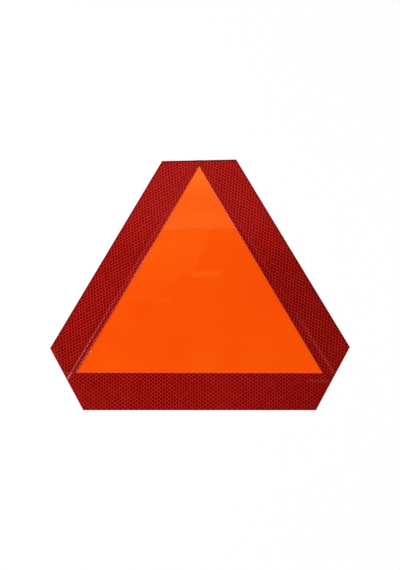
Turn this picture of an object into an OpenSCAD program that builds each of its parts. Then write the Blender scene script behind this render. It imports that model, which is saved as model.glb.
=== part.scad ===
// Rear marking plate for slow vehicles: a sheet-metal triangle with its corners cut off.
// A fluorescent triangle of film covers its middle, and three strips of red reflective
// tape make the border. It lies on its back, face up, with the narrow end towards +Y.

/* [Plate] */
// Width across the two side corners
plate_w = 423.4; // [380:0.2:470]
// Height from the lower end of the bottom edge to the higher end of the top edge
plate_h = 370; // [340:0.5:400]
// Width of the cut top corner
top_w = 109; // [95:0.5:125]
// How much lower the left end of the top edge lies than its right end
top_fall = 1.4; // [0:0.1:4]
// How far the middle of the top edge stands left of the plate's middle
top_shift = 1.1; // [0:0.1:4]
// Width of the bottom edge
bottom_w = 324.5; // [280:0.5:360]
// How much lower the right end of the bottom edge lies than its left end
bottom_fall = 0.8; // [0:0.1:4]
// Height of the two side corners above the lower end of the bottom edge
shoulder_h = 89; // [70:0.5:105]
// Thickness of the sheet
sheet_t = 1.5; // [0.8:0.1:4]

/* [Tape] */
// Width of the tape that borders the left side
left_tape_w = 51.2; // [44:0.2:56]
// Width of the tape that borders the right side
right_tape_w = 52.2; // [44:0.2:56]
// Width of the tape that borders the bottom edge
bottom_tape_w = 52.4; // [40:0.2:60]
// How far the left and the bottom tape turn away from the plate's edges, in degrees
tape_turn = 0.16; // [0:0.02:0.5]
// Thickness of the tape
tape_t = 0.4; // [0.2:0.05:0.8]
// Length over which a tape slopes down from what it laps onto
tape_slope = 1.5; // [0.5:0.1:3]

/* [Film] */
// Thickness of the film
film_t = 0.2; // [0.1:0.05:0.5]
// How far the film reaches under the left tape
film_lap_left = 5.5; // [3:0.25:12]
// How far the film reaches under the right tape, at the tip of the visible triangle
film_lap_right = 4.5; // [3:0.25:10]
// How far the film's right edge turns away from the tape's, in degrees
film_turn = 1.5; // [0:0.1:2]
// How far the film reaches under the bottom tape
film_lap_bottom = 11.25; // [3:0.25:20]

/* [Hidden] */
// A strip runs this far past the plate before it is trimmed to the outline
trim = 60;
// The pieces stand inside this height while they are trimmed
stack_t = 4 * (tape_t + film_t);

top_left = [-top_w / 2 - top_shift, plate_h / 2 - top_fall];
top_right = [top_w / 2 - top_shift, plate_h / 2];
side_left = [-plate_w / 2, shoulder_h - plate_h / 2];
side_right = [plate_w / 2, shoulder_h - plate_h / 2];
bottom_left = [-bottom_w / 2, bottom_fall - plate_h / 2];
bottom_right = [bottom_w / 2, -plate_h / 2];

// Each line is a point and a direction, with the plate's middle on its left hand
left_edge = [top_left, unit(side_left - top_left)];
right_edge = [side_right, unit(top_right - side_right)];
bottom_edge = [bottom_left, unit(bottom_right - bottom_left)];
left_inner = inner_line(top_left, side_left, left_tape_w, -tape_turn);
right_inner = inner_line(side_right, top_right, right_tape_w, 0);
bottom_inner = inner_line(bottom_left, bottom_right, bottom_tape_w, -tape_turn);

// The film's own edges, which lie hidden under the tapes
tip = meet(left_inner, right_inner);
film_left = moved(left_inner, -film_lap_left);
film_right = [tip - film_lap_right * left_of(right_inner[1]), turned(right_inner[1], film_turn)];
film_bottom = moved(bottom_inner, -film_lap_bottom);
film_corners = [
    meet(film_left, film_bottom),
    meet(film_bottom, film_right),
    meet(film_right, film_left)
];

film_top = sheet_t + film_t;
tape_top = sheet_t + tape_t;

function unit(v) = v / norm(v);
function left_of(d) = [-d.y, d.x];
function turned(d, angle) = [
    d.x * cos(angle) - d.y * sin(angle),
    d.x * sin(angle) + d.y * cos(angle)
];
// A line moved to its left hand by a distance
function moved(line, distance) = [line[0] + distance * left_of(line[1]), line[1]];
// A tape's inner edge: half way along the plate's edge it is a tape's width inside
function inner_line(a, b, width, angle) = let(along = unit(b - a))
    [(a + b) / 2 + width * left_of(along), turned(along, angle)];
// Where two lines cross
function meet(a, b) = let(gap = b[0] - a[0])
    a[0] + a[1] * (gap.x * b[1].y - gap.y * b[1].x) / (a[1].x * b[1].y - a[1].y * b[1].x);
// The four corners of a strip from outside an edge to its inner line, before it is trimmed
function strip(edge, inner) = let(a = moved(edge, -trim), run = 2 * plate_w)
    [a[0] - run * a[1], a[0] + run * a[1], inner[0] + run * inner[1], inner[0] - run * inner[1]];
// A convex outline with every edge moved outwards by a distance
function grown(points, distance) = let(n = len(points)) [
    for (i = [0 : n - 1])
        let(
            before = left_of(unit(points[i] - points[(i + n - 1) % n])),
            after = left_of(unit(points[(i + 1) % n] - points[i]))
        )
        points[i] - distance * (before + after) / (1 + before * after)
];

module outline() {
    polygon([top_right, top_left, side_left, bottom_left, bottom_right, side_right]);
}

// A layer with this outline at its top and edges that slope down to the sheet
module raised(points, top) {
    n = len(points);
    foot = grown(points, tape_slope);
    polyhedron(
        points = [
            for (p = foot) [p.x, p.y, sheet_t],
            for (p = points) [p.x, p.y, top]
        ],
        faces = [
            [for (i = [0 : n - 1]) i],
            [for (i = [n - 1 : -1 : 0]) n + i],
            for (i = [0 : n - 1]) let(j = (i + 1) % n) [i, n + i, n + j, j]
        ]
    );
}

// What lies between the sheet and a height, over the whole plate
module layer(top) {
    translate([0, 0, sheet_t]) linear_extrude(top - sheet_t) outline();
}

module trimmed(points) {
    translate([0, 0, sheet_t]) linear_extrude(stack_t) intersection() {
        outline();
        polygon(points);
    }
}

module film_body() {
    intersection() {
        layer(film_top);
        linear_extrude(sheet_t + stack_t) polygon(film_corners);
    }
}

module left_body() {
    difference() {
        intersection() {
            trimmed(strip(left_edge, left_inner));
            union() {
                layer(tape_top);
                raised(film_corners, film_top + tape_t);
            }
        }
        film_body();
    }
}

// The right tape laps over the left one above the tip
module right_body() {
    difference() {
        intersection() {
            trimmed(strip(right_edge, right_inner));
            union() {
                layer(tape_top);
                raised(film_corners, film_top + tape_t);
                over_side(strip(left_edge, left_inner));
            }
        }
        film_body();
        left_body();
    }
}

// The bottom tape laps over the lower ends of both side tapes
module bottom_body() {
    difference() {
        intersection() {
            trimmed(strip(bottom_edge, bottom_inner));
            union() {
                layer(tape_top);
                raised(film_corners, film_top + tape_t);
                over_side(strip(left_edge, left_inner));
                over_side(strip(right_edge, right_inner));
            }
        }
        film_body();
        left_body();
        right_body();
    }
}

// The rise of a tape over a side tape, and over both that tape and the film
module over_side(points) {
    raised(points, tape_top + tape_t);
    intersection() {
        raised(points, film_top + 2 * tape_t);
        raised(film_corners, film_top + 2 * tape_t);
    }
}

module backing_plate() {
    color("#b9bcbf") linear_extrude(sheet_t) outline();
}

module orange_film() {
    color("#fb5408") film_body();
}

module left_tape() {
    color("#a01410") left_body();
}

module right_tape() {
    color("#8c120e") right_body();
}

module bottom_tape() {
    color("#94120e") bottom_body();
}

backing_plate();
orange_film();
left_tape();
right_tape();
bottom_tape();
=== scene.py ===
import math

import bmesh
import bpy
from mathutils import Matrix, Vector, geometry

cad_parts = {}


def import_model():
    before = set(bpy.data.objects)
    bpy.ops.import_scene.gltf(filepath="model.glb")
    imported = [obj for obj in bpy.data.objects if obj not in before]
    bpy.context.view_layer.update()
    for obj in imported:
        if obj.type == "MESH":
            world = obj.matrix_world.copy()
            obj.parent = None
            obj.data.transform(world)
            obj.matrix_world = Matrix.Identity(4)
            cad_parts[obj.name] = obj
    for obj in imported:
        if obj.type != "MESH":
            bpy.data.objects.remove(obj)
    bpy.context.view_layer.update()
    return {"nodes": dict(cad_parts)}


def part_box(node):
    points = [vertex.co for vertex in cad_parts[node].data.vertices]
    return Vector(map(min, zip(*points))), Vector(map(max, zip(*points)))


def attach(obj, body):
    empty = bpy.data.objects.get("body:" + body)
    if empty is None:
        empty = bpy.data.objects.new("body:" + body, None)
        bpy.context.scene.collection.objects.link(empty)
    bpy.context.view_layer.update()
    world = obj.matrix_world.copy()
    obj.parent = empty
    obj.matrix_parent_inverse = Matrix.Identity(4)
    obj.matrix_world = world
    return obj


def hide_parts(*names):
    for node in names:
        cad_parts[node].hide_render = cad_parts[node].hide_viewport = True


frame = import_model()

# A rear marking plate for slow vehicles lies face up on a white table, with its narrow end towards
# +Y: sheet metal, a fluorescent triangle of film on it, and three strips of red reflective tape.

MM = 0.001

# Heights come from the CAD nodes
SHEET_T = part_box("backing_plate")[1].z
FILM_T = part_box("orange_film")[1].z - SHEET_T
TAPE_T = 0.4 * MM

# A tape slopes down over this length beside what it laps onto
LAP_SLOPE = 1.5 * MM
LAP_STEPS = 6

# Size of the faces that the sheets start with, and of the tapes before they are trimmed
PLATE_GRID = 48 * MM
FILM_GRID = 12 * MM
TAPE_GRID = 5 * MM
SPARE = 1.1
STRIP_LONG = 480 * MM
STRIP_WIDE = 140 * MM

# The knife leaves this much of a rounded edge
TAPE_ROUND = 0.06 * MM
FILM_ROUND = 0.04 * MM
SHEAR_ROUND = 0.15 * MM
CUT_EDGE = math.radians(55)
SHARP_EDGE = math.radians(30)

# How exact the cuts are, and what counts as one point, as an edge and as a turn
CUT_ACCURACY = 1e-7
MERGE_REACH = 0.02 * MM
SHORTEST_EDGE = 0.3 * MM
LEAST_TURN = 0.01

# Reflective tape: one diamond cell along and across the strip
CELL_LONG = 7.62 * MM
CELL_WIDE = 5.21 * MM


def linear(code):
    """A colour written as sRGB hex, in the linear values that the shaders use."""
    parts = [int(code[i : i + 2], 16) / 255 for i in (1, 3, 5)]
    return [p / 12.92 if p <= 0.04045 else ((p + 0.055) / 1.055) ** 2.4 for p in parts] + [1.0]


# Outlines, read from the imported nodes


def ring_of(node):
    """The corners of a CAD node seen from above, anticlockwise."""
    vertices = frame["nodes"][node].data.vertices
    points = sorted({(round(v.co.x, 6), round(v.co.y, 6)) for v in vertices})
    ring = [Vector(points[i]) for i in geometry.convex_hull_2d(points)]
    if sum(a.cross(b) for a, b in zip(ring, after(ring))) < 0:
        ring.reverse()
    ring = [b for a, b in zip(before(ring), ring) if (b - a).length > SHORTEST_EDGE]
    return [b for a, b, c in zip(before(ring), ring, after(ring)) if turns(a, b, c)]


def before(ring):
    """For each corner, the one before it."""
    return ring[-1:] + ring[:-1]


def after(ring):
    """For each corner, the one after it."""
    return ring[1:] + ring[:1]


def turns(a, b, c):
    """Whether the way from a to c turns at b, and doesn't go straight on."""
    return (b - a).normalized().cross((c - b).normalized()) > LEAST_TURN


def edges_of(ring):
    """Each edge of a ring: its first corner, its direction and the normal that points inside."""
    edges = []
    for a, b in zip(ring, after(ring)):
        along = (b - a).normalized()
        edges.append((a, along, Vector((-along.y, along.x))))
    return edges


def depth(edges, point):
    """How far a point lies inside the edges; below zero outside."""
    flat = Vector((point.x, point.y))
    return min((flat - corner).dot(inward) for corner, _, inward in edges)


def inner_edge(node):
    """The edge of a tape that borders the film: the one farthest inside the plate's outline."""
    ring = ring_of(node)
    middles = [(a + b) / 2 for a, b in zip(ring, after(ring))]
    return max(zip(middles, edges_of(ring)), key=lambda pair: depth(PLATE, pair[0]))[1]


def film_edge(node):
    """The film's edge that lies under a tape, along the tape's inner edge."""
    facing = inner_edge(node)[2]
    return min(FILM, key=lambda edge: edge[2].dot(facing))


PLATE = edges_of(ring_of("backing_plate"))
FILM = edges_of(ring_of("orange_film"))
LEFT_TAPE = edges_of(ring_of("left_tape"))
RIGHT_TAPE = edges_of(ring_of("right_tape"))
LEFT_INNER = inner_edge("left_tape")
RIGHT_INNER = inner_edge("right_tape")
BOTTOM_INNER = inner_edge("bottom_tape")
LEFT_FILM = film_edge("left_tape")
RIGHT_FILM = film_edge("right_tape")
BOTTOM_FILM = film_edge("bottom_tape")
# The edges of the film that shows, seen from the film
VISIBLE = [(a, along, -inward) for a, along, inward in (LEFT_INNER, RIGHT_INNER, BOTTOM_INNER)]

# The upper tip of the film that shows, the film's lower left corner, and the plate's edge there
TIP = Vector((-1.06 * MM, 175.2 * MM))
FILM_CORNER = Vector((-185 * MM, -143 * MM))
LOW_LEFT_EDGE = min(PLATE, key=lambda edge: abs(depth([edge], FILM_CORNER)))
LOW_LEFT_START = LOW_LEFT_EDGE[0]


# Sheets


def only(piece):
    """Makes this object the only one that is selected."""
    bpy.ops.object.select_all(action="DESELECT")
    piece.select_set(True)
    bpy.context.view_layer.objects.active = piece


def new_grid(name, centre, turn, length, width, face, height):
    """A flat grid of square faces, with its place in its mesh."""
    bpy.ops.object.select_all(action="DESELECT")
    bpy.ops.mesh.primitive_grid_add(
        x_subdivisions=round(length / face), y_subdivisions=round(width / face), size=1
    )
    sheet = bpy.context.object
    sheet.name = sheet.data.name = name
    sheet.scale = (length, width, 1)
    sheet.rotation_euler = (0, 0, turn)
    sheet.location = (centre[0], centre[1], height)
    bpy.ops.object.transform_apply(location=True, rotation=True, scale=True)
    return sheet


def grid_over(name, node, face, height):
    """A flat grid a little larger than a CAD node."""
    low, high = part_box(node)
    size = high - low
    return new_grid(name, (low + high) / 2, 0, size.x * SPARE, size.y * SPARE, face, height)


def cut_along(edges, inset=0, keep_inside=False):
    """In edit mode, cuts the sheet along lines that lie this far inside the edges."""
    for corner, _, inward in edges:
        point = corner + inward * inset
        bpy.ops.mesh.select_all(action="SELECT")
        bpy.ops.mesh.bisect(
            plane_co=(point.x, point.y, 0),
            plane_no=(inward.x, inward.y, 0),
            clear_inner=keep_inside,
            threshold=CUT_ACCURACY,
        )


def cut_at(edges, insets):
    """In edit mode, cuts the sheet along the edges once for each inset in millimetres."""
    for inset in insets:
        cut_along(edges, inset * MM)


def select_where(sheet, wanted):
    """In edit mode, selects the points that the function says yes to."""
    bpy.ops.mesh.select_mode(type="VERT")
    bpy.ops.mesh.select_all(action="DESELECT")
    mesh = bmesh.from_edit_mesh(sheet.data)
    for v in mesh.verts:
        v.select_set(wanted(v.co))
    bmesh.update_edit_mesh(sheet.data)


def eased(t):
    """A number from 0 to 1 with a soft start and a soft end."""
    return t * t * (3 - 2 * t)


def lift_over(sheet, edges, height):
    """In edit mode, raises the sheet over what lies inside the edges, with a soft slope by it."""
    for step in range(LAP_STEPS + 1):
        cut_along(edges, -LAP_SLOPE * (1 - step / LAP_STEPS))
    for step in range(1, LAP_STEPS + 1):
        reach = -LAP_SLOPE * (1 - step / LAP_STEPS) - CUT_ACCURACY * 10
        rise = height * (eased(step / LAP_STEPS) - eased((step - 1) / LAP_STEPS))
        select_where(sheet, lambda co: depth(edges, co) >= reach)
        bpy.ops.transform.translate(value=(0, 0, rise))


def merge_near():
    """In edit mode, makes one point of those that crossing cuts left almost in the same place."""
    bpy.ops.mesh.select_all(action="SELECT")
    bpy.ops.mesh.remove_doubles(threshold=MERGE_REACH)
    bpy.ops.mesh.dissolve_degenerate(threshold=MERGE_REACH)


def give_body(sheet, thickness, rounding):
    """Gives the sheet its thickness, downwards, and takes the sharpness off its cut edges."""
    only(sheet)
    solidify = sheet.modifiers.new("thickness", "SOLIDIFY")
    solidify.thickness = thickness
    solidify.offset = -1
    bevel = sheet.modifiers.new("cut_edge", "BEVEL")
    bevel.width = rounding
    bevel.segments = 2
    bevel.limit_method = "ANGLE"
    bevel.angle_limit = CUT_EDGE
    for modifier in ("thickness", "cut_edge"):
        bpy.ops.object.modifier_apply(modifier=modifier)
    bpy.ops.object.shade_smooth_by_angle(angle=SHARP_EDGE)


def paint(sheet, name, amount):
    """Stores a number from 0 to 1 on each point, for the material to read."""
    layer = sheet.data.attributes.new(name, "FLOAT", "POINT")
    layer.data.foreach_set("value", [min(1, max(0, amount(v.co))) for v in sheet.data.vertices])


def level_at(stops, where):
    """The value at a place on a line, between stops of (place, value)."""
    if where <= stops[0][0]:
        return stops[0][1]
    for (a, low), (b, high) in zip(stops, stops[1:]):
        if where <= b:
            return low + (high - low) * (where - a) / (b - a)
    return stops[-1][1]


def way_from(start, co):
    """How far a place is from a point on the sheet, in millimetres."""
    return (start - Vector((co.x, co.y))).length / MM


# Pieces


def finish_piece(piece, node, material):
    """Gives a piece its material and its body, and hides the CAD node that it stands for."""
    piece.data.materials.clear()
    piece.data.materials.append(material)
    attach(piece, "root")
    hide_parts(node)


def backing_sheet(material):
    """The sheet-metal plate, with corners cut off by a shear."""
    sheet = grid_over("aluminium_plate", "backing_plate", PLATE_GRID, SHEET_T)
    bpy.ops.object.mode_set(mode="EDIT")
    cut_along(PLATE, keep_inside=True)
    bpy.ops.object.mode_set(mode="OBJECT")
    give_body(sheet, SHEET_T, SHEAR_ROUND)
    finish_piece(sheet, "backing_plate", material)


# How pale the film is beside the left, the right and the bottom tape, from glue that crept out:
# stops by the distance from the tip in mm
GLUE_ALONG = (
    [
        (0, 0.1), (55, 0.1), (82, 0.24), (110, 0.2), (150, 0.26),
        (175, 0.42), (195, 0.14), (230, 0.07), (340, 0.07),
    ],
    [(0, 0.2), (60, 0.24), (120, 0.2), (160, 0.12), (200, 0.06), (340, 0.06)],
    [(0, 0.09), (340, 0.09)],
)
# How much painted shade the film takes there, darker and redder beside each tape
PAINTED_SHADE_ALONG = (
    [(0, 0.16), (200, 0.26), (340, 0.26)],
    [(0, 0.12), (340, 0.12)],
    [(0, 0)],
)
# How far both reach onto the film, by the distance from the tape in mm, and the cuts for them
GLUE_ACROSS = [(0, 1), (0.8, 0.9), (1.6, 0.1), (2.6, 0)]
PAINTED_SHADE_ACROSS = [(0, 1), (0.8, 1), (1.6, 0.6), (2.6, 0.35), (4, 0)]
FILM_CUTS = (-0.2, 0.8, 1.6, 2.6, 4.0)


def film_sheet(material):
    """The fluorescent triangle. Its own edges lie hidden under the tapes."""
    sheet = grid_over("fluorescent_film", "orange_film", FILM_GRID, SHEET_T + FILM_T)
    bpy.ops.object.mode_set(mode="EDIT")
    cut_along(FILM, keep_inside=True)
    cut_along(PLATE, keep_inside=True)
    cut_at(VISIBLE, FILM_CUTS)
    bpy.ops.object.mode_set(mode="OBJECT")

    def beside_tapes(each_tape, across, co):
        edge, along = min(zip(VISIBLE, each_tape), key=lambda pair: depth([pair[0]], co))
        return level_at(along, way_from(TIP, co)) * level_at(across, depth([edge], co) / MM)

    paint(sheet, "lightening", lambda co: beside_tapes(GLUE_ALONG, GLUE_ACROSS, co))
    # Painted shade beside the tapes, darker and redder
    paint(sheet, "painted_red_shade", lambda co: beside_tapes(PAINTED_SHADE_ALONG, PAINTED_SHADE_ACROSS, co))
    give_body(sheet, FILM_T, FILM_ROUND)
    finish_piece(sheet, "orange_film", material)


# Cuts beside a tape's own edges, inside its inner edge and beside what it laps onto, in mm
EDGE_CUTS = (0.35, 0.5, 1.7, 3.0, 5.0)
INNER_CUTS = (0.8, 2.0, 2.8, 3.6, 4.6, 5.4)
LAP_CUTS = (3.6, 2.4, 1.2, -2.5, -3.5, -6, -9)


def tape_strip(name, node, laps, marks, shade_marks, material):
    """A strip of reflective tape along one side, stuck down over what lies under it.
    Each lap is the edges of what it covers, and the height of that. The marks are pale, and the
    dark marks are painted shade beside a ridge."""
    edges = edges_of(ring_of(node))
    inner = inner_edge(node)
    low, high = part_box(node)
    turn = math.atan2(inner[1].y, inner[1].x)
    top = SHEET_T + TAPE_T
    sheet = new_grid(name, (low + high) / 2, turn, STRIP_LONG, STRIP_WIDE, TAPE_GRID, top)
    bpy.ops.object.mode_set(mode="EDIT")
    cut_along(edges, keep_inside=True)
    cut_at(edges, EDGE_CUTS)
    cut_at([inner], INNER_CUTS)
    for lower, height in laps:
        cut_at(lower, LAP_CUTS)
        lift_over(sheet, lower, height)
    merge_near()
    bpy.ops.object.mode_set(mode="OBJECT")
    paint_tape(sheet, marks, shade_marks)
    give_body(sheet, TAPE_T, TAPE_ROUND)
    finish_piece(sheet, node, material)


def mark_levels(marks, co):
    """The strength of each mark at a place, and how chalky it is. A mark is an edge, the levels
    across it by the distance outside it, a point, the levels along the edge by the distance from
    that point, and its chalkiness."""
    for edge, across, start, along, chalk in marks:
        outside = -depth([edge], co) / MM
        yield level_at(along, way_from(start, co)) * level_at(across, outside), chalk


# Painted shade in a dark line inside the sheared edge, and painted light that comes out at it,
# by the distance inside it in mm
EDGE_SHADE_ACROSS = [(0.35, 0), (0.5, 1), (1.7, 1), (3.0, 0)]
RIM_ACROSS = [(0.35, 0.85), (0.5, 0)]
# The painted shade's strength, and how much less there is at the edges that face the other way
EDGE_SHADE = 0.6
LESS_EDGE_SHADE = 0.15
# The faintest pale mark that can be chalky
FAINTEST = 0.001


def paint_tape(sheet, marks, shade_marks):
    """Paints what the tape's material reads."""

    # How much paler the tape is: pale marks, and painted light from the film
    def lightening(co):
        return sum(level for level, _ in mark_levels(marks, co))

    def chalkiness(co):
        chalky = sum(level * chalk for level, chalk in mark_levels(marks, co))
        return chalky / max(lightening(co), FAINTEST)

    # Painted shade beside the ridges
    def painted_dip_shade(co):
        return sum(level for level, _ in mark_levels(shade_marks, co))

    # Painted shade inside the sheared edge, weaker on the edges that face the other way
    def painted_edge_shade(co):
        inward = min(PLATE, key=lambda edge: depth([edge], co))[2]
        amount = EDGE_SHADE - LESS_EDGE_SHADE * max(0, inward.x) - LESS_EDGE_SHADE * inward.y
        return amount * level_at(EDGE_SHADE_ACROSS, depth(PLATE, co) / MM)

    def rim(co):
        return level_at(RIM_ACROSS, depth(PLATE, co) / MM)

    for amount in (lightening, chalkiness, painted_dip_shade, painted_edge_shade, rim):
        paint(sheet, amount.__name__, amount)


# Materials


def new_material(name):
    material = bpy.data.materials.new(name)
    material.use_nodes = True
    material.node_tree.nodes.clear()
    return material, material.node_tree


def add(tree, kind, inputs=None, **settings):
    """Adds a node. settings are its own fields. inputs are values, other nodes or their sockets,
    by the input's name or number."""
    node = tree.nodes.new(kind)
    for name, value in settings.items():
        setattr(node, name, value)
    for name, value in (inputs or {}).items():
        if isinstance(value, bpy.types.Node):
            value = next(s for s in value.outputs if s.enabled)
        if isinstance(value, bpy.types.NodeSocket):
            tree.links.new(value, node.inputs[name])
        else:
            node.inputs[name].default_value = value
    return node


def laid_over(tree, colour, *coats, blend="MIX"):
    """A colour with coats laid over it, one after another. Each is its share and its colour, or
    with MULTIPLY a tone that makes the colour darker or lighter."""
    for share, coat in coats:
        inputs = {0: share, 6: colour, 7: coat}
        colour = add(tree, "ShaderNodeMix", inputs, data_type="RGBA", blend_type=blend).outputs[2]
    return colour


def noise_tone(tree, place, scale, spread, detail=3.0):
    """A tone around 1, from noise with features about 1 / scale metres apart."""
    noise = add(tree, "ShaderNodeTexNoise", {"Vector": place, "Scale": scale, "Detail": detail})
    return add(
        tree,
        "ShaderNodeMapRange",
        {
            "Value": noise,
            "From Min": 0.3,
            "From Max": 0.7,
            "To Min": 1 - spread,
            "To Max": 1 + spread,
        },
    )


def spot(tree, place, centre, radii, change):
    """A tone of 0 around a soft oval spot, and of change in its middle."""
    away = add(
        tree,
        "ShaderNodeMapping",
        {
            "Vector": place,
            "Location": (centre[0] * MM, centre[1] * MM, 0),
            "Scale": (radii[0] * MM, radii[1] * MM, 1),
        },
        vector_type="TEXTURE",
    )
    away = add(tree, "ShaderNodeVectorMath", {0: away}, operation="LENGTH").outputs["Value"]
    return add(
        tree,
        "ShaderNodeMapRange",
        {"Value": away, "From Max": 1.0, "To Min": change, "To Max": 0},
        interpolation_type="SMOOTHSTEP",
    )


def product(tree, first, *others):
    """Tones multiplied with one another."""
    for other in others:
        first = add(tree, "ShaderNodeMath", {0: first, 1: other}, operation="MULTIPLY")
    return first


# Spots on the film, lighter or darker: place and radii in mm, and how much lighter. Some are
# faded, yellowed or rubbed film; others are painted reflection and painted shade, such as the
# thin dark line at the edge of the mirrored back card
FILM_PATCHES = (
    ((98, -15), (78, 78), -0.13),
    ((-122, -122), (40, 34), 0.11),
    ((5, -120), (45, 45), 0.1),
    ((85, -122), (55, 55), 0.05),
    ((-105, -62), (22, 22), 0.07),
    ((-88, -42), (26, 18), -0.1),
    ((-62, -27), (14, 5), 0.08),
    ((-30, -95), (30, 30), -0.05),
    ((40, 86), (24, 24), -0.05),
    # Painted shade: a thin dark line where the mirrored back card ends
    ((-4, 78.4), (62, 1.5), -0.08),
    ((39.5, 75.5), (13, 5), 0.32),
    ((8.5, 117), (4, 18), -0.1),
    ((17, 112), (4, 10), -0.06),
    ((0.5, 133), (5, 12), -0.06),
    ((0, 160), (9, 14), 0.08),
    ((-8, 123), (30, 1.8), -0.05),
    ((6, 99), (40, 1.8), -0.05),
    ((-32, 13), (14, 7), 0.07),
)
# A chip beside the left tape
CHIP = ((-153.9, -101.2), (1.3, 1.2), 0.6)


def roll_lines(tree, place, scale, spread, detail):
    """Faint lines across the sheet, long in X and fine in Y, from the calender rolls."""
    drawn_out = add(tree, "ShaderNodeMapping", {"Vector": place, "Scale": scale})
    return noise_tone(tree, drawn_out, 1.0, spread, detail)


def film_tone(tree, place, fine_lines):
    """How light the film is around 1, from its roll lines, clouds and patches."""
    # Broad lines about 4 mm apart, and clouds about 60 mm across
    broad_lines = roll_lines(tree, place, (4, 260, 1), 0.045, 1.0)
    clouds = noise_tone(tree, place, 16.0, 0.03)
    tone = product(tree, fine_lines, broad_lines, clouds)
    for patch in FILM_PATCHES:
        patch_tone = spot(tree, place, *patch)
        tone = add(tree, "ShaderNodeMath", {0: tone, 1: patch_tone}, operation="ADD")
    return tone


def fluorescent_film():
    """Fluorescent PVC film, calendered smooth. It glows a little redder than any paint could,
    mirrors the studio sharply and carries faint lines across, from the calender rolls."""
    material, tree = new_material("fluorescent_pvc_film")
    place = add(tree, "ShaderNodeTexCoord").outputs["Object"]
    # Fine lines about 1.5 mm apart
    fine_lines = roll_lines(tree, place, (6, 700, 1), 0.05, 3.0)
    # The red hardly changes, because it comes from the fluorescence
    tone = film_tone(tree, place, fine_lines)
    tone = add(tree, "ShaderNodeCombineXYZ", {"X": 1.0, "Y": tone, "Z": tone})
    orange = laid_over(tree, linear("#f85407"), (1.0, tone), blend="MULTIPLY")
    glue, painted_red_shade = [
        add(tree, "ShaderNodeAttribute", attribute_name=name).outputs["Fac"]
        for name in ("lightening", "painted_red_shade")
    ]
    colour = laid_over(
        tree,
        orange,
        # Adhesive has crept out along the tapes' cut edges, in a pale hairline
        (glue, linear("#e08496")),
        # Painted shade: beside the tapes the film goes darker and redder, as in their shadow and
        # red light
        (painted_red_shade, linear("#8c1008")),
        (spot(tree, place, *CHIP), linear("#ffd9d0")),
    )
    ripple = add(
        tree, "ShaderNodeBump", {"Height": fine_lines, "Strength": 0.04, "Distance": 0.02 * MM}
    )
    shader = add(
        tree,
        "ShaderNodeBsdfPrincipled",
        {
            "Base Color": colour,
            "Roughness": 0.02,
            "IOR": 1.5,
            "Specular Tint": (1.0, 0.8, 0.14, 1.0),
            # Painted light: a faint glow of its own, whatever light falls on it, stands in for the
            # fluorescence
            "Emission Color": linear("#ff1400"),
            "Emission Strength": 0.065,
            "Normal": ripple,
        },
    )
    add(tree, "ShaderNodeOutputMaterial", {"Surface": shader})
    return material


def cell_axes(tree, place, origin, turn):
    """A place counted in cells along and across the strip, from a cell's middle."""
    grid = add(
        tree,
        "ShaderNodeMapping",
        {
            "Vector": place,
            "Location": (origin[0] * MM, origin[1] * MM, 0),
            "Rotation": (0, 0, math.radians(turn)),
            "Scale": (CELL_LONG, CELL_WIDE, 1),
        },
        vector_type="TEXTURE",
    )
    axes = add(tree, "ShaderNodeSeparateXYZ", {"Vector": grid})
    return axes.outputs["X"], axes.outputs["Y"]


def diamond_cells(tree, along, across):
    """How far a place is from the middle of its diamond cell in metres, and a random number for
    each cell."""
    sides = [
        add(tree, "ShaderNodeMath", {0: along, 1: across}, operation=way)
        for way in ("ADD", "SUBTRACT")
    ]
    first, second = [
        add(tree, "ShaderNodeMath", {0: side, 1: 0.5, 2: -0.5}, operation="WRAP") for side in sides
    ]
    lengthwise = add(tree, "ShaderNodeMath", {0: first, 1: second}, operation="ADD")
    crosswise = add(tree, "ShaderNodeMath", {0: first, 1: second}, operation="SUBTRACT")
    offset = add(tree, "ShaderNodeCombineXYZ", {"X": lengthwise, "Y": crosswise})
    half_cell = (CELL_LONG / 2, CELL_WIDE / 2, 0)
    offset = add(tree, "ShaderNodeVectorMath", {0: offset, 1: half_cell}, operation="MULTIPLY")
    distance = add(tree, "ShaderNodeVectorMath", {0: offset}, operation="LENGTH").outputs["Value"]
    column, row = [add(tree, "ShaderNodeMath", {0: side}, operation="ROUND") for side in sides]
    cell = add(tree, "ShaderNodeCombineXYZ", {"X": column, "Y": row})
    return distance, add(tree, "ShaderNodeTexWhiteNoise", {"Vector": cell}).outputs["Value"]


def cell_welds(tree, place, distance):
    """A tone of 0 in the dark middles of the cells, about 4 mm wide, and of 1 at their welds."""
    # The middles are uneven over 5 mm
    reach = product(tree, distance, noise_tone(tree, place, 200.0, 0.07, 1.0))
    return add(
        tree,
        "ShaderNodeMapRange",
        {"Value": reach, "From Min": 1.35 * MM, "From Max": 2.3 * MM},
        interpolation_type="SMOOTHSTEP",
    )


def cell_colour(tree, place, number, weld, dot, ground):
    """The tape's own colour: dark in the middle of each cell and chalkier at its welds."""
    # Some cells look darker than others
    own_tone = add(tree, "ShaderNodeMapRange", {"Value": number, "To Min": 0.84, "To Max": 1.16})
    middle = laid_over(tree, linear(dot), (1.0, own_tone), blend="MULTIPLY")
    # Chalky spots about 2.5 mm apart
    spots = add(tree, "ShaderNodeTexNoise", {"Vector": place, "Scale": 380.0, "Detail": 2.0})
    spots = add(
        tree,
        "ShaderNodeMapRange",
        {"Value": spots, "From Min": 0.5, "From Max": 0.75, "To Max": 0.1},
    )
    seam = laid_over(tree, linear(ground), (spots, linear("#dc8070")))
    return laid_over(tree, middle, (weld, seam))


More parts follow.
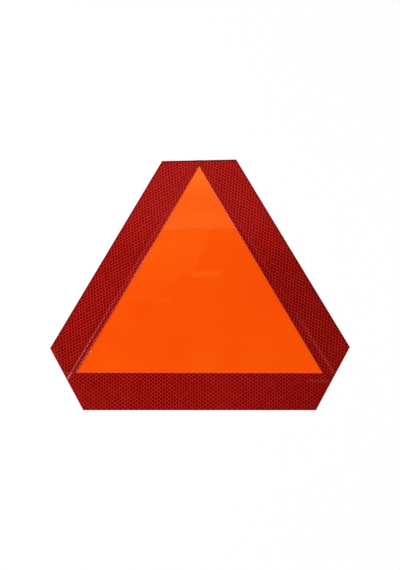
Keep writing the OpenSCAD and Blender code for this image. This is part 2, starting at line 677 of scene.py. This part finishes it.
def aged(tree, place, colour, weld):
    """The tape's colour with all that was painted on the strip."""
    lightening, chalkiness, painted_dip_shade, painted_edge_shade, rim = [
        add(tree, "ShaderNodeAttribute", attribute_name=name).outputs["Fac"]
        for name in ("lightening", "chalkiness", "painted_dip_shade", "painted_edge_shade", "rim")
    ]
    # Stretched over a step, the layers part a little: first they go light red, then chalky. The
    # same marks carry painted light from the film at the right tape's inner edge
    parted = add(tree, "ShaderNodeMapRange", {"Value": weld, "To Min": 0.5, "To Max": 1.2})
    pale = product(tree, lightening, noise_tone(tree, place, 330.0, 0.4), parted)
    chalk = laid_over(tree, linear("#d8423a"), (chalkiness, linear("#f08c80")))
    # It is patchy over about 3 mm, and so is the painted shade inside the sheared edge
    shaded_edge = product(tree, painted_edge_shade, noise_tone(tree, place, 300.0, 0.3))
    return laid_over(
        tree,
        colour,
        (pale, chalk),
        # Painted shade beside the ridges, towards black
        (painted_dip_shade, linear("#000000")),
        # Painted shade: a dark line inside the sheared edge
        (shaded_edge, linear("#3c1210")),
        # Light that has run along inside the clear layer comes out at its trimmed edge
        (rim, linear("#ff5044")),
    )


def reflective_tape(name, origin, turn, dot, ground, shade_along_strip, gleam):
    """Microprismatic tape: clear acrylic over red prisms, welded to its back in diamond cells. A
    cell looks dark in its middle, where the prisms send light back the way it came, and lighter
    and chalkier around its welds. origin is the middle of a cell in mm, and gleam is how much
    like metal the prisms shine."""
    material, tree = new_material(name)
    place = add(tree, "ShaderNodeTexCoord").outputs["Object"]
    along, across = cell_axes(tree, place, origin, turn)
    distance, number = diamond_cells(tree, along, across)
    weld = cell_welds(tree, place, distance)
    # Painted shade: along the strip the tape is drawn darker, from one cell to another and by this
    # much
    start, end, loss = shade_along_strip
    fall = add(
        tree,
        "ShaderNodeMapRange",
        {"Value": along, "From Min": start, "From Max": end, "To Min": 1, "To Max": 1 - loss},
    )
    # Clouds about 40 mm across, and a grain that stands for the prisms, drawn coarser than 0.1 mm
    clouds = noise_tone(tree, place, 25.0, 0.04)
    tone = product(tree, fall, clouds, noise_tone(tree, place, 900.0, 0.14))
    colour = cell_colour(tree, place, number, weld, dot, ground)
    colour = laid_over(tree, colour, (1.0, tone), blend="MULTIPLY")
    relief = add(
        tree,
        "ShaderNodeBump",
        {"Height": weld, "Strength": 0.3, "Distance": 0.02 * MM},
        invert=True,
    )
    shader = add(
        tree,
        "ShaderNodeBsdfPrincipled",
        {
            "Base Color": aged(tree, place, colour, weld),
            "Metallic": gleam,
            "Roughness": 0.11,
            "IOR": 1.49,
            "Specular IOR Level": 0.043,
            "Normal": relief,
        },
    )
    add(tree, "ShaderNodeOutputMaterial", {"Surface": shader})
    return material


def rolled_aluminium():
    """Mill-finish aluminium sheet: a soft grey sheen, drawn out into fine lines along the rolling
    direction."""
    material, tree = new_material("mill_finish_aluminium")
    place = add(tree, "ShaderNodeTexCoord").outputs["Object"]
    # Rolling lines 0.1 mm apart, drawn 0.6 mm apart so that they show
    line_place = add(tree, "ShaderNodeMapping", {"Vector": place, "Scale": (12, 1600, 1600)})
    lines = add(tree, "ShaderNodeTexNoise", {"Vector": line_place, "Scale": 1.0, "Detail": 4.0})
    # Stains about 45 mm across
    stains = add(tree, "ShaderNodeTexNoise", {"Vector": place, "Scale": 22.0, "Detail": 5.0})
    sheen = laid_over(tree, linear("#e4e6e8"), (lines, linear("#f4f5f5")))
    colour = laid_over(tree, sheen, (stains, linear("#eaebec")))
    gloss = add(
        tree,
        "ShaderNodeMapRange",
        {"Value": lines, "From Min": 0.3, "From Max": 0.7, "To Min": 0.3, "To Max": 0.44},
    )
    relief = add(
        tree, "ShaderNodeBump", {"Height": lines, "Strength": 0.2, "Distance": 0.02 * MM}
    )
    shader = add(
        tree,
        "ShaderNodeBsdfPrincipled",
        {"Base Color": colour, "Metallic": 1.0, "Roughness": gloss, "Normal": relief},
    )
    add(tree, "ShaderNodeOutputMaterial", {"Surface": shader})
    return material


# Studio

# Height of the cards above the plate, and tints of light
CARD_HEIGHT = 2.0
WHITE = (1.0, 1.0, 1.0, 1.0)
WARM = (1.0, 1.0, 0.45, 1.0)
RUDDY = (1.0, 0.6, 0.5, 1.0)


def camera():
    """The photograph's camera, found from the plate's outline and the tape's cells."""
    data = bpy.data.cameras.new("camera")
    data.lens = 74.65
    data.sensor_width = 36
    data.clip_start, data.clip_end = 0.05, 60
    view = bpy.data.objects.new("camera", data)
    view.location = (0.05345, -0.41859, 1.63962)
    view.rotation_mode = "ZYX"
    view.rotation_euler = [math.radians(a) for a in (14.18, 1.79, -0.32)]
    bpy.context.scene.collection.objects.link(view)
    bpy.context.scene.camera = view


def white_floor():
    """A white table. The camera and reflections see it as white, with the object's shadow kept."""
    bpy.ops.object.select_all(action="DESELECT")
    bpy.ops.mesh.primitive_plane_add(size=30, location=(0, 0, -0.02 * MM))
    floor = bpy.context.object
    floor.name = "floor"
    material, tree = new_material("white_table")
    seen = add(tree, "ShaderNodeLightPath").outputs
    direct = seen["Is Camera Ray"]
    for ray in ("Is Glossy Ray", "Is Transmission Ray"):
        direct = add(tree, "ShaderNodeMath", {0: direct, 1: seen[ray]}, operation="MAXIMUM")
    # One part in ten stays paint, which takes the shadow
    share = product(tree, direct, 0.9)
    matt_paint = add(tree, "ShaderNodeBsdfDiffuse", {"Color": linear("#ffffff")})
    white = add(tree, "ShaderNodeEmission", {"Color": linear("#ffffff"), "Strength": 1.0})
    surface = add(tree, "ShaderNodeMixShader", {0: share, 1: matt_paint, 2: white})
    add(tree, "ShaderNodeOutputMaterial", {"Surface": surface})
    floor.data.materials.append(material)


def studio_air():
    """The world: white at the horizon and dark overhead, like a room with a black ceiling."""
    world = bpy.data.worlds.new("studio")
    world.use_nodes = True
    bpy.context.scene.world = world
    tree = world.node_tree
    tree.nodes.clear()
    way = add(tree, "ShaderNodeTexCoord").outputs["Generated"]
    up = add(tree, "ShaderNodeSeparateXYZ", {"Vector": way}).outputs["Z"]
    strength = add(
        tree,
        "ShaderNodeMapRange",
        {"Value": up, "From Min": 0.5, "From Max": 0.82, "To Min": 1.0, "To Max": 0.03},
        interpolation_type="SMOOTHSTEP",
    )
    air = add(tree, "ShaderNodeBackground", {"Color": WHITE, "Strength": strength})
    add(tree, "ShaderNodeOutputWorld", {"Surface": air})


def softbox(name, place, size, power):
    """A lamp behind a diffuser, aimed at the plate."""
    data = bpy.data.lights.new(name, "AREA")
    data.shape = "RECTANGLE"
    data.size, data.size_y = size
    data.energy = power
    lamp = bpy.data.objects.new(name, data)
    lamp.location = place
    lamp.rotation_euler = (-Vector(place)).to_track_quat("-Z", "Y").to_euler()
    lamp.visible_camera = False
    bpy.context.scene.collection.objects.link(lamp)


def mirrored(x, y):
    """Where the camera sees the ceiling in the plate, for a place on the plate in millimetres."""
    eye = bpy.context.scene.camera.location
    share = CARD_HEIGHT / eye.z
    x, y = x * MM, y * MM
    return (x + (x - eye.x) * share, y + (y - eye.y) * share)


def ceiling_card(name, corners, near, far, tint):
    """A dim card overhead, which the glossy film mirrors where the camera sees these places on
    the plate. Its strength goes from near, at its lowest corner in the picture, to far, at its
    highest."""
    corners = [mirrored(x, y) for x, y in corners]
    mesh = bpy.data.meshes.new(name)
    mesh.from_pydata([(x, y, CARD_HEIGHT) for x, y in corners], [], [list(range(len(corners)))])
    card = bpy.data.objects.new(name, mesh)
    material, tree = new_material(name)
    place = add(tree, "ShaderNodeTexCoord").outputs["Object"]
    back = add(tree, "ShaderNodeSeparateXYZ", {"Vector": place}).outputs["Y"]
    low, high = min(y for _, y in corners), max(y for _, y in corners)
    strength = add(
        tree,
        "ShaderNodeMapRange",
        {"Value": back, "From Min": low, "From Max": high, "To Min": near, "To Max": far},
    )
    light = add(tree, "ShaderNodeEmission", {"Color": tint, "Strength": strength})
    add(tree, "ShaderNodeOutputMaterial", {"Surface": light})
    mesh.materials.append(material)
    card.visible_camera = False
    bpy.context.scene.collection.objects.link(card)


# Corners as places on the plate in mm, with near and far strength and tint
CARDS = (
    ("back_card", [(-190, 79.5), (150, 79.5), (150, 103), (-190, 103)], 1.3, 1.15, WHITE),
    ("second_back_card", [(-190, 103), (150, 103), (150, 125), (-190, 125)], 1.0, 1.0, WHITE),
    (
        "tip_card",
        [(-28, 125), (28, 125), (3, 170), (3, 260), (-5, 260), (-5, 170)],
        1.1,
        5.0,
        WHITE,
    ),
    (
        "left_back_card",
        [(-190, 125), (-28, 125), (-5, 170), (-5, 260), (-190, 260)],
        1.0,
        1.0,
        WHITE,
    ),
    (
        "right_back_card",
        [(28, 125), (190, 125), (190, 260), (3, 260), (3, 170)],
        1.0,
        1.0,
        WHITE,
    ),
    ("left_card", [(16, 79), (5, 46), (-73, 46), (-54, 79)], 0.64, 0.66, WARM),
    (
        "low_left_card",
        [(5, 46), (-1, 34), (-4, 19), (-25, 8), (-51, -8), (-100, -45), (-124, -45), (-73, 46)],
        0.06,
        0.56,
        WARM,
    ),
    ("right_card", [(16, 79), (5, 46), (73, 46), (54, 79)], 0.1, 0.16, WARM),
    ("tape_card", [(54, 79), (73, 46), (150, 46), (150, 79)], 0.75, 0.75, RUDDY),
    ("strip", [(-9, 16), (30, 16), (31, 7), (-13, 7)], 0.66, 0.84, WARM),
    ("short_strip", [(-62, -23), (-41, -23), (-41, -30), (-62, -30)], 0.35, 0.35, WARM),
)

# Levels across a mark, by the distance outside its edge in mm. First the band inside a tape's
# cut edge, where its clear layer ends, then the ridges over the film's edges and the painted
# shade beside them
HEM = [(-0.8, 0), (0, 1)]
BAND = [(-2.8, 0), (-2, 1), (-0.8, 1), (0, 0.4)]
SLIM_RIDGE = [(-1.2, 0), (0, 0.8), (0.5, 1), (1.0, 0.7), (1.5, 0.1), (2.5, 0)]
WIDE_RIDGE = [(-1.2, 0), (0, 0.9), (0.5, 1), (1.5, 1), (2.5, 0.25), (3.5, 0)]
TWIN_RIDGE = [(-3.6, 0), (-2.4, 0.2), (-1.2, 1), (0, 0.4), (0.75, 1), (1.5, 0.4), (2.5, 0)]
HOLLOW = [(-5.4, 0), (-4.6, 0.8), (-3.6, 1), (-2.8, 0.6), (-2, 0)]
FLANK = [(1.5, 0), (2.5, 0.6), (3.5, 1), (6, 1), (9, 0)]

# A faint haze beside the sheared edge, strongest at the side corner
HAZE = (
    LOW_LEFT_EDGE,
    [(-5, 0), (-3, 1), (-1.7, 0.5), (-0.5, 0)],
    LOW_LEFT_START,
    [(0, 0.16), (12, 0.14), (20, 0.07), (52, 0.07), (62, 0.04), (101, 0.04)],
    0.5,
)

# What shows on each tape, as mark_levels reads it. The places along the edge are in mm
LEFT_MARKS = [
    (LEFT_INNER, HEM, TIP, [(140, 0), (165, 0.8), (185, 0.8), (205, 0)], 0.8),
    (
        LEFT_INNER,
        BAND,
        TIP,
        [(180, 0.08), (220, 0.2), (250, 0.3), (300, 0.36), (344, 0.16)],
        0.0,
    ),
    (LEFT_INNER, BAND, TIP, [(290, 0), (344, 0.3)], 0.7),
    (
        LEFT_FILM,
        SLIM_RIDGE,
        TIP,
        [
            (0, 0.16), (70, 0.24), (110, 0.42), (150, 0.42),
            (175, 0.56), (195, 0.42), (230, 0.42), (260, 0),
        ],
        0.0,
    ),
    (LEFT_FILM, WIDE_RIDGE, TIP, [(220, 0), (250, 0.18), (290, 0.36), (350, 0.4)], 0.35),
    HAZE,
]
# Painted shade on the left tape, in a hollow inside its inner edge and on the ridge's flank
LEFT_SHADE_MARKS = [
    (LEFT_INNER, HOLLOW, TIP, [(200, 0), (250, 0.2), (280, 0.4), (340, 0.46)], 0),
    (
        LEFT_FILM,
        FLANK,
        TIP,
        [(0, 0.05), (90, 0.05), (150, 0.12), (200, 0.05), (270, 0.12), (345, 0.12)],
        0,
    ),
]
RIGHT_MARKS = [
    (
        RIGHT_FILM,
        SLIM_RIDGE,
        TIP,
        [(0, 0.2), (110, 0.26), (150, 0.34), (175, 0.22), (200, 0.1), (240, 0.08)],
        0.05,
    ),
    (RIGHT_FILM, TWIN_RIDGE, TIP, [(255, 0), (280, 0.13), (340, 0.24)], 0.35),
    # Painted light: the film's orange glow spilling onto the right tape's inner edge
    (RIGHT_INNER, HEM, TIP, [(0, 0.2), (100, 0.3), (150, 0.45), (340, 0.45)], 0.0),
]
BOTTOM_MARKS = [
    (LEFT_FILM, WIDE_RIDGE, TIP, [(342, 0.25), (350, 0.6), (372, 0.7)], 0.6),
    HAZE,
    (BOTTOM_INNER, HEM, FILM_CORNER, [(12, 0.45), (20, 0)], 0.6),
    (
        BOTTOM_FILM,
        TWIN_RIDGE,
        FILM_CORNER,
        [(335, 0), (347, 0.1), (352, 0.14), (362, 0.08), (368, 0)],
        0.6,
    ),
]

scene = bpy.context.scene
scene.view_settings.view_transform = "Standard"

camera()
white_floor()
studio_air()
softbox("key_softbox", (-1.75, -0.1, 1.55), (2.2, 1.7), 35.5)
softbox("fill_softbox", (1.9, 0.0, 1.5), (2.2, 1.7), 17.6)
for card in CARDS:
    ceiling_card(*card)

backing_sheet(rolled_aluminium())
film_sheet(fluorescent_film())
# One tape on all three strips. Their dot and ground colours differ as painted shade, for the light
# that the prisms catch, which changes with each strip's direction
tape_strip(
    "left_reflective_tape",
    "left_tape",
    [(FILM, FILM_T)],
    LEFT_MARKS,
    LEFT_SHADE_MARKS,
    reflective_tape(
        "microprismatic_tape_left",
        origin=(-115.58, 31.89),
        turn=-119.181,
        dot="#8c0100",
        ground="#bb211b",
        shade_along_strip=(9, 26, 0.14),
        gleam=0.13,
    ),
)
tape_strip(
    "right_reflective_tape",
    "right_tape",
    [(FILM, FILM_T), (LEFT_TAPE, TAPE_T)],
    RIGHT_MARKS,
    [],
    reflective_tape(
        "microprismatic_tape_right",
        origin=(117.12, 27.80),
        turn=119.516,
        dot="#850100",
        ground="#b72019",
        shade_along_strip=(0, 1, 0),
        gleam=0.31,
    ),
)
tape_strip(
    "bottom_reflective_tape",
    "bottom_tape",
    [(FILM, FILM_T), (LEFT_TAPE, TAPE_T), (RIGHT_TAPE, TAPE_T)],
    BOTTOM_MARKS,
    [],
    reflective_tape(
        "microprismatic_tape_bottom",
        origin=(0.25, -163.85),
        turn=-0.088,
        dot="#860000",
        ground="#b21e18",
        shade_along_strip=(5, 22, 0.2),
        gleam=0.13,
    ),
)
